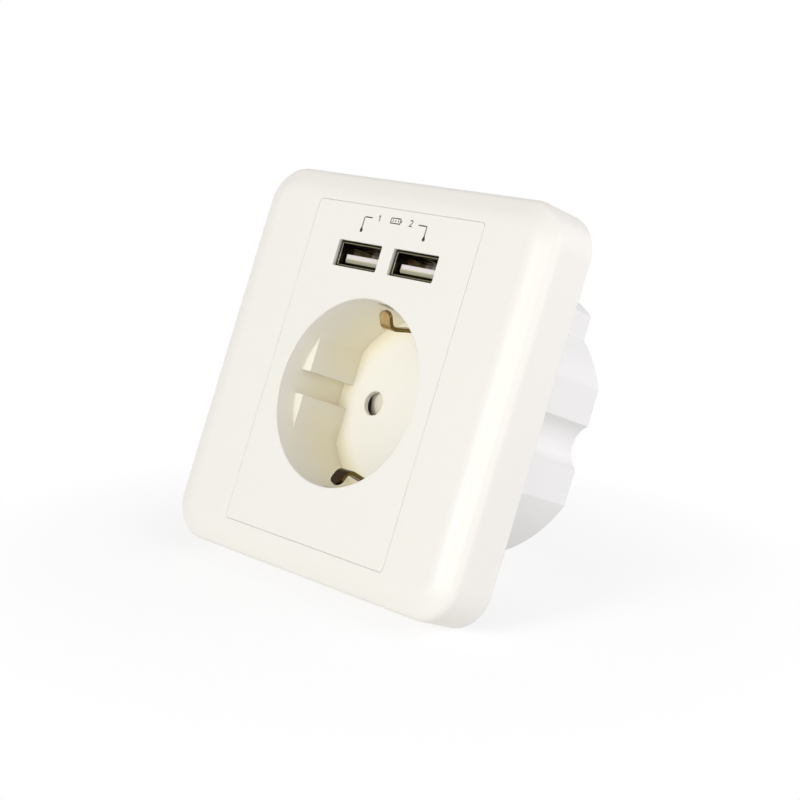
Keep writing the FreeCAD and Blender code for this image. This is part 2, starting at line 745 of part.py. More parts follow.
def usb_tongue(x):
    z = usb_rise - tongue_drop
    tongue = block(span(x, tongue_width), (y_usb + tongue_setback, usb_board_gap), span(z, tongue_thick))
    front = [e for e in tongue.Edges if abs(e.BoundBox.YMax - y_usb - tongue_setback) < 0.001
             and e.BoundBox.ZLength > tongue_thick / 2]
    tongue = tongue.makeFillet(0.7, front)
    nose, low = y_usb + tongue_setback - 0.1, z - tongue_thick / 2 - 0.1
    points = [Vector(x - tongue_width, y, h) for y, h in ((nose, low), (nose + 0.9, low), (nose, low + 0.9))]
    tongue = tongue.cut(flat_piece(points, [0] * len(points), Vector(2 * tongue_width, 0, 0)))
    inner = (usb_width - 2 * usb_fit - 2 * usb_sheet, usb_height - 2 * usb_fit - 2 * usb_sheet)
    rear = slab(inner[0], inner[1], usb_corner, (usb_board_gap - usb_block, usb_board_gap), x, usb_rise)
    return joined([tongue, rear]).cut(usb_contacts(x))


def usb_board():
    ys = (usb_board_gap, usb_board_gap + board_thick)
    body = block(span(0, 2 * board_half - 0.2), ys, (z_usb_board, z_usb_board + usb_board_height))
    body = body.common(rod(lobe_radius - housing_wall - board_clear, ys))
    through = (ys[0] - 1, ys[1] + 1)
    for x in usb_places.values():
        top = usb_rise - tongue_drop + tongue_thick / 2 - usb_contact_thick / 2
        for offset in usb_contact_places:
            slot = span(x + offset, usb_contact_width + 0.2)
            body = body.cut(block(slot, through, span(top, usb_contact_thick + 0.2)))
        for side in (-1, 1):
            leg = x + side * (usb_width / 2 - usb_fit - usb_sheet / 2)
            body = body.cut(block(span(leg, usb_sheet + 0.2), through, span(usb_rise, 1.8)))
    return body.cut(header_holes(through))


def header_places():
    return [(i - 1.5) * header_pitch for i in range(4)]


def header_z():
    return z_usb_board + usb_board_height - 1.5


def header_holes(ys):
    side = pin_square + 0.2
    return Part.makeCompound([block(span(x, side), ys, span(header_z(), side)) for x in header_places()])


def header_pins():
    ys = (usb_board_gap - 0.8, y_power_back)
    return Part.makeCompound([block(span(x, pin_square), ys, span(header_z(), pin_square))
                              for x in header_places()])


def header_spacer():
    ys = (usb_board_gap + board_thick, usb_board_gap + board_thick + spacer_thick)
    body = block(span(0, 4 * header_pitch), ys, span(header_z(), header_pitch))
    return body.cut(header_pins())


def power_board():
    ys = (y_power, y_power_back)
    low = z_well + base_top + 1.1
    body = block(span(0, 2 * board_half), ys, (low, FAR))
    body = body.common(rod(lobe_radius - housing_wall - board_clear, ys))
    through = (ys[0] - 1, ys[1] + 1)
    tab_z = z_well + base_top + 2.9 - contact_thick / 2
    for x in span(0, pin_pitch):
        body = body.cut(block(span(x, 2.4), through, span(tab_z, contact_thick + 0.4)))
    return body.cut(header_holes(through))


def transformer_core():
    """Two-window ferrite core on the bobbin's foot."""
    ys = (y_power_back + bobbin_foot, y_power_back + bobbin_foot + core_depth)
    body = block(span(x_core, core_width), ys, span(z_core, core_height))
    yoke = core_leg / 2
    for side in (-1, 1):
        inner, outer = core_leg / 2, core_width / 2 - yoke
        xs = sorted((x_core + side * inner, x_core + side * outer))
        body = body.cut(block(xs, (ys[0] + yoke, ys[1] - yoke), span(z_core, core_height + 2)))
    return body


def transformer_winding():
    """Taped winding that fills the core's windows and stands out on both sides."""
    yoke = core_leg / 2
    ys = (y_power_back + bobbin_foot + yoke, y_power_back + bobbin_foot + core_depth - yoke)
    width = core_width - 2 * yoke - 0.2
    height = core_height + 2 * winding_out
    coil = slab(width, height, 2.0, (ys[0] + 0.1, ys[1] - 0.1), x_core, z_core)
    foot_ys = (y_power_back, y_power_back + bobbin_foot)
    foot = slab(core_width - 1, height + 2 * foot_lip, 0.8, foot_ys, x_core, z_core)
    legs = []
    for z in span(z_core, height - 1.0):
        legs.append(block(span(x_core, width - 2), (y_power_back + bobbin_foot - 0.5, ys[0] + 0.6),
                          span(z, 1.0)))
    body = joined([coil, foot] + legs)
    leg = block(span(x_core, core_leg), (ys[0] - 1, ys[1] + 1), span(z_core, core_height))
    return body.cut(leg).removeSplitter()


def electrolytic(radius, length, x, z):
    """Aluminium can that stands on the board."""
    return rod(radius, (y_power_back, y_power_back + length), x, z)


def input_capacitors():
    x = x_core - core_width / 2 - input_can_radius - 1.5
    step = input_can_radius + 0.6
    return Part.makeCompound([electrolytic(input_can_radius, input_can_length, x, z)
                              for z in (z_core - 0.4 - step, z_core - 0.4 + step)])


def output_capacitors():
    return Part.makeCompound([electrolytic(output_can_radius, output_can_length, x, z_out)
                              for x in (-x_out, x_out)])


def rectifier():
    z = z_core + 10.4
    body = block(span(-10.6, 4.6), (y_power_back, y_power_back + 2.5), span(z, 3.8))
    return body.makeChamfer(0.4, [e for e in body.Edges if e.BoundBox.YMin > y_power_back + 2])


def output_diode():
    z = z_core + 10.0
    body = block(span(11.0, 4.4), (y_power_back, y_power_back + 2.3), span(z, 2.8))
    return body.makeChamfer(0.4, [e for e in body.Edges if e.BoundBox.YMin > y_power_back + 2])


def controller_chip():
    """Small outline chip on the board's front, with four gull-wing legs a side."""
    z = z_core + 9.0
    body = block(span(8.0, 5.0), (y_power - 1.6, y_power - 0.1), span(z, 3.9))
    legs = []
    for i in range(4):
        x = 8.0 + (i - 1.5) * 1.27
        for side in (-1, 1):
            zs = sorted((z + side * 1.9, z + side * 3.0))
            legs.append(block(span(x, 0.42), (y_power - 0.35, y_power), zs))
    return joined([body] + legs)


def fuse_resistor():
    """Wire-wound barrel lying on the board, with a lead at each end."""
    y, z = y_power_back + fuse_radius + 0.1, z_well + base_top + fuse_radius + 1.8
    barrel = Part.makeCylinder(fuse_radius, fuse_length, Vector(-fuse_length / 2, y, z), Vector(1, 0, 0))
    reach = fuse_length + 2 * lead
    leads = [block(span(0, reach + 2 * lead), span(y, lead), span(z, lead))]
    for x in span(0, reach + lead):
        leads.append(block(span(x, lead), (y_power_back, y + lead / 2), span(z, lead)))
    return joined([barrel] + leads)


def safety_capacitor():
    """Disc capacitor on two legs."""
    x, z = x_core + core_width / 2 + disc_gap + disc_thick / 2, z_core + disc_radius - 0.9
    y = y_power_back + disc_lift
    disc = Part.makeCylinder(disc_radius, disc_thick, Vector(x - disc_thick / 2, y, z), Vector(1, 0, 0))
    rim = [e for e in disc.Edges if e.isClosed()]
    disc = disc.makeChamfer(0.3 * disc_thick, rim)
    legs = [block(span(x, lead), (y_power_back, y), span(place, lead))
            for place in span(z, disc_radius + 0.5)]
    return joined([disc] + legs)


def filter_choke():
    """Drum choke: a ferrite bobbin with its winding between two flanges."""
    x, z = x_core + core_width / 2 + choke_radius + 0.4, z_core - 4.6
    y = y_power_back
    ends = [rod(choke_radius, (y, y + 1.0), x, z),
            rod(choke_radius, (y + choke_length - 1.0, y + choke_length), x, z)]
    waist = rod(choke_radius - 0.4, (y, y + choke_length), x, z)
    return joined(ends + [waist])


def write(name, shape):
    shape.exportStep("parts/" + name + ".step")


os.makedirs("parts", exist_ok=True)
for maker in (cover_frame, socket_insert, mounting_plate, rear_housing, contact_base, shutter, shutter_spring,
              earth_strap, earth_terminal, earth_rivet, housing_screws, usb_board, header_pins,
              header_spacer, power_board, transformer_core, transformer_winding, input_capacitors,
              output_capacitors, rectifier, output_diode, controller_chip, fuse_resistor,
              safety_capacitor, filter_choke):
    write(maker.__name__, maker())
write("line_contact", pole_contact(-1))
write("neutral_contact", pole_contact(1))
for pole, place in terminal_places.items():
    write(pole + "_cage", terminal_cage(place))
    write(pole + "_screw", terminal_screw_piece(place))
for side, place in usb_places.items():
    write(side + "_usb_shell", usb_shell(place))
    write(side + "_usb_tongue", usb_tongue(place))
    write(side + "_usb_contacts", usb_contacts(place))
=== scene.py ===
import json
import math

import bmesh
import bpy
from mathutils import Matrix, Vector


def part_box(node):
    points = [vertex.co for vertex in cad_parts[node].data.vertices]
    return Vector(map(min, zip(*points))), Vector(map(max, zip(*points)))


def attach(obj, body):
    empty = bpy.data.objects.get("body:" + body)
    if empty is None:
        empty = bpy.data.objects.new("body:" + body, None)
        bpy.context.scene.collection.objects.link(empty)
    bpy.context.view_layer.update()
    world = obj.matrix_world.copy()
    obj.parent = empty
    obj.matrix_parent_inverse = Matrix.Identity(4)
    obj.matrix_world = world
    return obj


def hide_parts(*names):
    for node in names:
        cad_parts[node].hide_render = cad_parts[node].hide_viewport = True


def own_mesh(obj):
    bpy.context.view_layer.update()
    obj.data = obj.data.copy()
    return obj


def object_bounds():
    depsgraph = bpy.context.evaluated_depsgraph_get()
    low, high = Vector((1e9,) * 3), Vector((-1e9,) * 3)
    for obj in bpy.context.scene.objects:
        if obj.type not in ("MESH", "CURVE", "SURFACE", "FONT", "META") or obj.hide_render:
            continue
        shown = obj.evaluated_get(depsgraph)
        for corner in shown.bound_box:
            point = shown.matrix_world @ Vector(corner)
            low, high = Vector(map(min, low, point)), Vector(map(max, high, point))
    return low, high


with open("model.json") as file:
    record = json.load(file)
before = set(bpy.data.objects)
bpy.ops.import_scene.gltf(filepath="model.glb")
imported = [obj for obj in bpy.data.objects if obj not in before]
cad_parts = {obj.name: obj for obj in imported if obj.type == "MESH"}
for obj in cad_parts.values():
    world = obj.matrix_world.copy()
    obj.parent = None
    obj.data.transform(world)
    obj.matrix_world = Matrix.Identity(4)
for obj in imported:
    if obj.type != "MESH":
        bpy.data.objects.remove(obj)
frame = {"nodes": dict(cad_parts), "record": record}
cad_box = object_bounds()
NODES = frame["nodes"]
RECORD = frame["record"]
MM = 0.001
WHITE = (1.0, 1.0, 1.0)

# The photograph's view: the point that the camera looks at, its distance and its turns in degrees.
AIM = Vector((15.901, -12.5, -2.204)) * MM
AZIMUTH, ELEVATION, ROLL = 44.026, -2.004, 16.580
DISTANCE = 357.211 * MM
LENS, SENSOR = 79.572, 36.0

# Places in metres that the finishes and the added pieces share with the solids.
FACE_Y = cad_box[0].y
FRAME_HALF = cad_box[1].x
HOUSING_BACK = cad_box[1].y
HOUSING_RADIUS = 30.0 * MM
PORT_X, PORT_Z = 8.4 * MM, 25.2 * MM
PIN_X, _, WELL_Z = next(mount["pos_m"] for mount in RECORD["mounts"] if mount["name"] == "right_pin_hole")
SHUTTER_SLIDE = next(joint for joint in RECORD["behaviour"]["joints"] if joint["name"] == "shutter_slide")
SHUTTER_RISE = SHUTTER_SLIDE["range_m"][1]
SPRING_SEAT_Z = SHUTTER_SLIDE["deforming_nodes"][0]["fixed_end_z_m"]

# Print on the face: line widths and thickness in metres, and points in millimetres across and up.
PRINT_RISE = 0.008 * MM
PRINT_FACES = (FACE_Y - PRINT_RISE, FACE_Y + PRINT_RISE)
BRACKET_WIDTH, MARK_WIDTH = 0.26 * MM, 0.23 * MM
BRACKET_BEND = 0.4
SHARPEST_MITRE = 0.5
DOT_RADIUS, DOT_TAIL = 0.42, 1.1
BRACKETS = {
    "left": {"stub": -7.1, "post": -9.45, "top": 33.7, "low": 30.7},
    "right": {"stub": 6.7, "post": 9.2, "top": 33.7, "low": 30.9},
}

# Coils and solder: counts, sizes in metres, the beads' scales, and the lean that lays a coil along Y.
ALONG_Y = (-math.pi / 2, 0.0, 0.0)
CHOKE_TURNS, CHOKE_PITCH, CHOKE_RADIUS, CHOKE_WIRE = 11, 0.42 * MM, 2.4 * MM, 0.2 * MM
THREAD_TURNS, THREAD_PITCH, THREAD_RADIUS, THREAD_CREST = 9, 0.7 * MM, 1.49 * MM, 0.05 * MM
THREAD_START = 0.3 * MM
SPRING_TURNS, SPRING_WIRE = 6, 0.2 * MM
HEADER_PINS, HEADER_PIN_SIDE = 4, 0.64 * MM
BEAD_RADIUS, BEAD_SMALLEST, BEAD_LARGEST, BEAD_HEIGHT = 0.75 * MM, 0.85, 1.1, 0.75

# Light: the world's strength, the table's tone, glow and fade, and one row for each lamp.
WORLD_STRENGTH = 0.42
TABLE_TONE, TABLE_LIFT, TABLE_BOUNCE = 0.42, 0.64, 0.40
TABLE_HALF, TABLE_DROP = 4.0, 0.05 * MM
FADE_START, FADE_WIDTH = 85.0 * MM, 50.0 * MM
LAMPS = {
    "key": {"towards": (0.75, -1.0, -0.02), "distance": 0.9, "size": 1.0, "power": 1.0, "tint": WHITE},
    "front": {"towards": (-0.05, -1.0, -0.05), "distance": 1.0, "size": 0.35, "power": 4.0, "tint": WHITE},
    "side": {"towards": (1.0, 0.12, 0.40), "distance": 1.0, "size": 1.3, "power": 6.3,
             "tint": (0.92, 0.905, 1.0)},
    "rear": {"towards": (0.45, 1.0, 0.45), "distance": 1.0, "size": 1.0, "power": 2.2, "tint": WHITE},
}

# Colour sockets of the Mix node, number sockets of the Random Value node, and rays for each rounded edge.
MIX_LOW, MIX_HIGH, MIX_RESULT = 6, 7, 2
RANDOM_LOW, RANDOM_HIGH, RANDOM_RESULT = 2, 3, 1
BEVEL_SAMPLES = 4

TINNED = (0.62, 0.62, 0.60)


class Signal:
    """A shader socket; maths on it adds nodes to its tree."""

    def __init__(self, nodes, socket):
        self.nodes, self.socket = nodes, socket

    def math(self, operation, *others):
        return self.nodes.math(operation, self, *others)

    def __add__(self, other):
        return self.math("ADD", other)

    __radd__ = __add__

    def __sub__(self, other):
        return self.math("SUBTRACT", other)

    def __rsub__(self, other):
        return self.nodes.math("SUBTRACT", other, self)

    def __mul__(self, other):
        return self.math("MULTIPLY", other)

    __rmul__ = __mul__

    def __abs__(self):
        return self.math("ABSOLUTE")

    def above(self, level, soft=0.0):
        """1 where the value is over the level, with a soft step of the given width."""
        if soft == 0.0:
            return self.math("GREATER_THAN", level)
        return (self - (level - soft / 2)).math("DIVIDE", soft).clamped()

    def below(self, level, soft=0.0):
        return 1.0 - self.above(level, soft)

    def clamped(self):
        return self.math("MAXIMUM", 0.0).math("MINIMUM", 1.0)

    def wave(self):
        return self.math("SINE")


class Nodes:
    """A node tree of a material, the world or a Geometry Nodes group."""

    def __init__(self, tree):
        self.tree = tree

    def feed(self, socket, value):
        """Links a socket or a signal to the socket, or sets a plain value on it."""
        if isinstance(value, Signal):
            value = value.socket
        if isinstance(value, bpy.types.NodeSocket):
            self.tree.links.new(value, socket)
        elif socket.type == "RGBA" and len(value) == 3:
            socket.default_value = (*value, 1.0)
        else:
            socket.default_value = value

    def node(self, kind, settings=None, values=None):
        made = self.tree.nodes.new(kind)
        for key, value in (settings or {}).items():
            setattr(made, key, value)
        for key, value in (values or {}).items():
            self.feed(made.inputs[key], value)
        return made

    def math(self, operation, *values):
        made = self.node("ShaderNodeMath", {"operation": operation}, dict(enumerate(values)))
        return Signal(self, made.outputs[0])

    def blended(self, mask, first, second):
        """First shader where the mask is 0, second where it is 1."""
        return self.node("ShaderNodeMixShader", values={0: mask, 1: first, 2: second}).outputs[0]

    def background_rays(self):
        """1 for rays that see the plain background: from the camera, mirrored or through a clear thing."""
        rays = self.node("ShaderNodeLightPath").outputs
        seen = Signal(self, rays["Is Camera Ray"])
        for label in ("Is Glossy Ray", "Is Transmission Ray"):
            seen = seen.math("MAXIMUM", rays[label])
        return seen


class Finish(Nodes):
    """One procedural material, built from Object coordinates in metres."""

    def __init__(self, name):
        self.material = bpy.data.materials.new(name)
        self.material.use_nodes = True
        super().__init__(self.material.node_tree)
        self.tree.nodes.clear()
        self.output = self.node("ShaderNodeOutputMaterial")
        self.shader = self.node("ShaderNodeBsdfPrincipled")
        self.feed(self.output.inputs["Surface"], self.shader.outputs[0])
        self.place = self.node("ShaderNodeTexCoord").outputs["Object"]
        split = self.node("ShaderNodeSeparateXYZ", values={"Vector": self.place})
        self.x, self.y, self.z = (Signal(self, split.outputs[axis]) for axis in "XYZ")

    def noise(self, scale, detail=3.0, stretch=None):
        """Noise about 0 to 1; scale is in features a metre, stretch squeezes it along the axes."""
        place = self.place
        if stretch:
            place = self.node("ShaderNodeMapping", values={"Vector": place, "Scale": stretch}).outputs[0]
        made = self.node("ShaderNodeTexNoise", values={"Vector": place, "Scale": scale, "Detail": detail})
        return Signal(self, made.outputs["Fac"])

    def cells(self, scale, output="Distance"):
        made = self.node("ShaderNodeTexVoronoi", values={"Vector": self.place, "Scale": scale})
        return Signal(self, made.outputs[output])

    def grey(self, signal):
        made = self.node("ShaderNodeSeparateColor", values={"Color": signal})
        return Signal(self, made.outputs["Red"])

    def mix(self, mask, low, high):
        """First colour where the mask is 0, second where it is 1."""
        values = {"Factor": mask, MIX_LOW: low, MIX_HIGH: high}
        return self.node("ShaderNodeMix", {"data_type": "RGBA"}, values).outputs[MIX_RESULT]

    def rounded(self, radius):
        """Normal as if the edges were rounded by this radius."""
        return self.node("ShaderNodeBevel", {"samples": BEVEL_SAMPLES}, {"Radius": radius}).outputs[0]

    def edge_line(self, radius, turn=0.045, soft=0.05):
        """1 by a sharp edge, where the normal rounded by this radius turns away, and 0 on open faces."""
        values = {0: self.rounded(radius), 1: self.node("ShaderNodeNewGeometry").outputs["Normal"]}
        made = self.node("ShaderNodeVectorMath", {"operation": "DOT_PRODUCT"}, values)
        return (1.0 - Signal(self, made.outputs["Value"])).above(turn, soft)

    def relief(self, height, distance, normal=None):
        values = {"Height": height, "Distance": distance, "Strength": 1.0}
        if normal is not None:
            values["Normal"] = normal
        return self.node("ShaderNodeBump", values=values).outputs[0]

    def from_axis(self, x):
        """Distance from the line along Y at this distance across, level with the well's middle."""
        across, rise = abs(self.x) - x, self.z - WELL_Z
        return (across * across + rise * rise).math("SQRT")

    def colour(self):
        """The base colour as it is fed so far."""
        return self.shader.inputs["Base Color"].links[0].from_socket

    def set(self, **values):
        for key, value in values.items():
            self.feed(self.shader.inputs[key.replace("_", " ").title().replace("Ior", "IOR")], value)
        return self.material


def shade(colour, factor):
    return tuple(min(1.0, part * factor) for part in colour)


def moulded(name, colour, rough, grain, depth, edge, wander=0.012):
    """Moulded plastic: a slow drift of tone, uneven gloss and the mould's fine grain."""
    skin = Finish(name)
    drift = skin.noise(35.0, 2.0)
    speck = skin.noise(900.0, 2.0)
    tone = (drift * 0.7 + speck * 0.3).clamped()
    skin.set(base_color=skin.mix(tone, shade(colour, 1 - wander), shade(colour, 1 + wander)),
             roughness=rough - 0.05 + 0.1 * skin.noise(160.0, 3.0),
             normal=skin.relief(skin.noise(grain, 2.0), depth, skin.rounded(edge)))
    return skin


def rolled_metal(name, low, high, rough, lines=(1.0, 1.0, 0.05), edge=0.12 * MM):
    """Rolled sheet: faint drawn lines along the strip and a hazy gloss."""
    skin = Finish(name)
    line = skin.noise(2600.0, 3.0, lines)
    haze = skin.noise(150.0, 4.0)
    skin.set(base_color=skin.mix((line * 0.45 + haze * 0.55).clamped(), low, high), metallic=1.0,
             roughness=rough - 0.06 + 0.14 * haze,
             normal=skin.relief(line, 0.004 * MM, skin.rounded(edge)))
    return skin


def face_plastic():
    """Glossy warm white, with painted light that makes the well's floor paler, warm painted shade on the
    well's wall, and dark painted shade in the gaps round the ports and the shutter.
    """
    skin = moulded("warm_white_gloss", (0.873, 0.850, 0.785),
                   rough=0.42, grain=1500.0, depth=0.012 * MM, edge=0.2 * MM)
    # Painted light: the well's floor is given a paler colour than the face around it.
    well_floor_painted_light = skin.y.above(5.8 * MM, 0.1 * MM)
    apart = skin.from_axis(0.0)
    # Painted shade: the well's wall is tinted a warmer, creamier white.
    wall = apart.above(17.0 * MM, 3.0 * MM) * apart.below(21.0 * MM)
    well_wall_painted_shade = wall * skin.y.above(-6.0 * MM, 11.0 * MM) * skin.y.below(6.5 * MM)
    # Painted shade: the insert's walls round each port, behind the face, are made nearly black.
    port = abs(abs(skin.x) - PORT_X).below(7.0 * MM) * abs(skin.z - PORT_Z).below(3.2 * MM)
    port_gap_painted_shade = port * skin.y.above(-11.75 * MM, 0.5 * MM)
    # Painted shade: the bay behind each pin hole, where the shutter slides, is made nearly black.
    pin_hole = abs(abs(skin.x) - PIN_X).below(4.2 * MM) * abs(skin.z - WELL_Z).below(4.2 * MM)
    slide_bay_painted_shade = pin_hole * skin.y.above(7.3 * MM, 0.1 * MM)
    # Painted light on the floor first, then the warm painted shade on the wall.
    pale = skin.mix(well_floor_painted_light, skin.colour(), (0.94, 0.925, 0.86))
    warm = skin.mix(well_wall_painted_shade, pale, (0.93, 0.88, 0.71))
    skin.set(base_color=skin.mix((port_gap_painted_shade + slide_bay_painted_shade).clamped(), warm, (0.05, 0.045, 0.035)))
    return skin.material


def shutter_plastic():
    """Pale slider with painted shade that darkens it away from each pin hole."""
    skin = moulded("shutter_pads", (0.95, 0.89, 0.74),
                   rough=0.4, grain=2600.0, depth=0.02 * MM, edge=0.1 * MM)
    # Painted shade: beyond each pin hole's pale pad the slider is made nearly black.
    rim = skin.from_axis(PIN_X).above(3.75 * MM, 1.0 * MM)
    skin.set(base_color=skin.mix(rim, skin.colour(), (0.03, 0.025, 0.018)))
    return skin.material


def housing_plastic():
    skin = moulded("housing_white", (0.855, 0.845, 0.815),
                   rough=0.48, grain=2600.0, depth=0.03 * MM, edge=0.25 * MM)
    return skin.material


def base_plastic():
    skin = moulded("base_grey", (0.23, 0.23, 0.24),
                   rough=0.5, grain=2400.0, depth=0.03 * MM, edge=0.2 * MM, wander=0.05)
    return skin.material


def black_plastic():
    skin = moulded("moulded_black", (0.025, 0.025, 0.027),
                   rough=0.42, grain=3200.0, depth=0.02 * MM, edge=0.1 * MM, wander=0.12)
    return skin.material


def tongue_plastic():
    """Pinkish white tongue with a painted olive reflection on its lower slope and painted shade on its dark
    underside.
    """
    skin = moulded("tongue_white", (0.84, 0.78, 0.76),
                   rough=0.45, grain=2800.0, depth=0.01 * MM, edge=0.1 * MM)
    # Painted reflection: the tongue's lower slope is given an olive tone.
    slope = skin.z.below(24.5 * MM, 0.3 * MM)
    # Painted shade: the tongue's underside is made nearly black.
    underside = skin.z.below(23.68 * MM, 0.1 * MM)
    front = skin.mix(slope, skin.colour(), (0.66, 0.64, 0.46))
    skin.set(base_color=skin.mix(underside, front, (0.10, 0.085, 0.06)))
    return skin.material


def zinc_steel():
    """Zinc plate: pale spangles, a dull film and fine scratches."""
    skin = Finish("zinc_plate")
    spangle = skin.grey(skin.cells(420.0, output="Color"))
    film = skin.noise(90.0, 4.0)
    scratch = skin.noise(500.0, 3.0, (1.0, 1.0, 14.0))
    tone = (spangle * 0.5 + film * 0.5).clamped()
    skin.set(base_color=skin.mix(tone, (0.42, 0.43, 0.45), (0.66, 0.67, 0.68)), metallic=1.0,
             roughness=0.3 + 0.16 * film + 0.1 * spangle,
             normal=skin.relief(scratch, 0.008 * MM, skin.rounded(0.12 * MM)))
    return skin.material


def bronze_strip():
    """Sprung bronze: black painted shade lines at its edges, olive painted shade on its cut sides, random
    dark stains, and a painted dark reflection that turns the lower clip nearly black.
    """
    skin = rolled_metal("bronze_strip", (0.34, 0.22, 0.08), (0.66, 0.47, 0.22), rough=0.26)
    # Painted shade: the strip's cut sides are darkened to olive.
    cut_side_painted_shade = abs(skin.x).above(1.585 * MM, 0.01 * MM)
    # Painted dark reflection: the lower clip is turned nearly black; random dark stains are added on both
    # clips.
    lower_clip_painted_reflection = skin.z.below(-15.0 * MM, 2.0 * MM)
    stain = skin.noise(420.0, 3.0).above(0.55, 0.3) * 0.45
    flat = skin.mix((stain + lower_clip_painted_reflection).clamped(), skin.colour(), (0.04, 0.024, 0.01))
    strip = skin.mix(cut_side_painted_shade, flat, (0.19, 0.14, 0.045))
    # Painted shade: black lines along the strip's edges.
    skin.set(base_color=skin.mix(skin.edge_line(0.32 * MM), strip, (0.02, 0.013, 0.005)))
    return skin.material


def spring_strip():
    return rolled_metal("bright_strip", (0.60, 0.58, 0.53), (0.82, 0.80, 0.75), rough=0.27).material


def contact_brass():
    return rolled_metal("plain_brass", (0.55, 0.40, 0.16), (0.80, 0.62, 0.30), rough=0.32).material


def gold_contact():
    skin = rolled_metal("gold_flash", (0.72, 0.50, 0.18), (0.92, 0.72, 0.34),
                        rough=0.22, lines=(1.0, 0.05, 1.0), edge=0.04 * MM)
    return skin.material


def port_shell():
    """Nickel sheet painted with light and shade: a painted highlight on the front rim's left and right sides,
    painted shade on its top, bottom and outer edge, near black painted shade behind it, a patchy brown
    painted reflection halfway and a grey painted shade at the back.
    """
    # The sheet's own dark brown and olive tones are the painted reflection seen halfway back.
    skin = rolled_metal("nickel_sheet", (0.10, 0.085, 0.05), (0.30, 0.26, 0.17),
                        rough=0.24, lines=(1.0, 0.05, 1.0), edge=0.05 * MM)
    # Painted light and shade from front to back: rim is the front edge, halfway starts the brown painted
    # reflection, and rear starts the grey painted shade.
    rim = skin.y.below(-11.5 * MM, 0.06 * MM)
    halfway = skin.y.above(-7.9 * MM, 0.2 * MM)
    rear = skin.y.above(-2.5 * MM, 0.4 * MM)
    # On the front edge: a painted highlight on the left and right sides, painted shade on the top, the bottom
    # and the outer edge.
    across, rise = abs(abs(skin.x) - PORT_X), abs(skin.z - PORT_Z)
    outer_edge_painted_shade = (across.above(6.22 * MM, 0.06 * MM) + rise.above(2.5 * MM, 0.06 * MM)).clamped()
    upright_painted_highlight = across.above(6.0 * MM)
    # Near black painted shade behind the front edge, then a patchy brown painted reflection, then a grey
    # painted shade at the back.
    patchy_painted_reflection = skin.mix(skin.noise(330.0, 1.0).above(0.5, 0.12), skin.colour(), (0.12, 0.08, 0.025))
    front = skin.mix(halfway, (0.035, 0.03, 0.02), patchy_painted_reflection)
    inside_painted_shade_and_reflection = skin.mix(rear, front, (0.52, 0.49, 0.42))
    lip_painted_highlight_and_shade = skin.mix(upright_painted_highlight, (0.26, 0.23, 0.13), (0.62, 0.58, 0.42))
    skin.set(base_color=skin.mix(rim, inside_painted_shade_and_reflection, skin.mix(outer_edge_painted_shade, lip_painted_highlight_and_shade, (0.05, 0.04, 0.03))))
    return skin.material


def print_ink():
    """Dark grey pad print with slightly uneven cover."""
    skin = Finish("grey_print")
    cover = skin.noise(5200.0, 3.0)
    skin.set(base_color=skin.mix(cover, (0.018, 0.018, 0.019), (0.06, 0.06, 0.063)),
             roughness=0.45 + 0.15 * cover)
    return skin.material


def solder():
    skin = Finish("tinned_solder")
    flow = skin.noise(1500.0, 2.0)
    skin.set(base_color=skin.mix(flow, (0.50, 0.50, 0.50), (0.72, 0.72, 0.71)), metallic=1.0,
             roughness=0.2 + 0.2 * flow, normal=skin.relief(flow, 0.03 * MM))
    return skin.material


def enamelled_wire():
    skin = Finish("enamelled_wire")
    haze = skin.noise(700.0, 3.0)
    skin.set(base_color=skin.mix(haze, (0.50, 0.18, 0.06), (0.78, 0.36, 0.14)), metallic=1.0,
             roughness=0.22 + 0.16 * haze, coat_weight=0.3)
    return skin.material


def lacquered_board():
    """Green board: copper tracks across and up it under the lacquer, and the glass cloth's weave."""
    skin = Finish("lacquered_board")
    across = (skin.x * 1250.0).wave().above(0.35, 0.2)
    along = (skin.z * 1000.0 + 2.0).wave().above(0.3, 0.2)
    patch = skin.noise(110.0, 1.0).above(0.5, 0.02)
    track = (across * patch + along * (1.0 - patch)).clamped()
    weave = (skin.x * 9000.0).wave() * (skin.z * 9000.0).wave()
    skin.set(base_color=skin.mix(track, (0.012, 0.115, 0.045), (0.035, 0.22, 0.085)),
             roughness=0.28 + 0.08 * skin.noise(300.0), coat_weight=0.4,
             normal=skin.relief(track + 0.15 * weave, 0.02 * MM, skin.rounded(0.1 * MM)))
    return skin.material


def ferrite():
    """Pressed ferrite with a fine grain and small pits."""
    skin = Finish("ferrite_grey")
    grain = skin.noise(5200.0, 4.0)
    pit = skin.cells(1500.0).above(0.35, 0.3)
    skin.set(base_color=skin.mix(grain, (0.03, 0.03, 0.033), (0.10, 0.10, 0.105)),
             roughness=0.45 + 0.2 * grain,
             normal=skin.relief(grain + 0.6 * pit, 0.04 * MM, skin.rounded(0.2 * MM)))
    return skin.material


def winding_tape():
    """Yellow tape in overlapping turns round the winding, with a dark moulded foot under it."""
    skin = Finish("winding_tape")
    foot = skin.y.below(17.3 * MM)
    turn = (skin.y * 2100.0 + skin.noise(260.0) * 0.8).wave()
    tape = skin.mix(turn.above(0.75, 0.5), (0.70, 0.50, 0.035), (0.80, 0.62, 0.08))
    skin.set(base_color=skin.mix(foot, tape, (0.03, 0.03, 0.03)), coat_weight=0.2,
             roughness=0.3 + 0.12 * skin.noise(400.0),
             normal=skin.relief(turn, 0.03 * MM, skin.rounded(0.2 * MM)))
    return skin.material


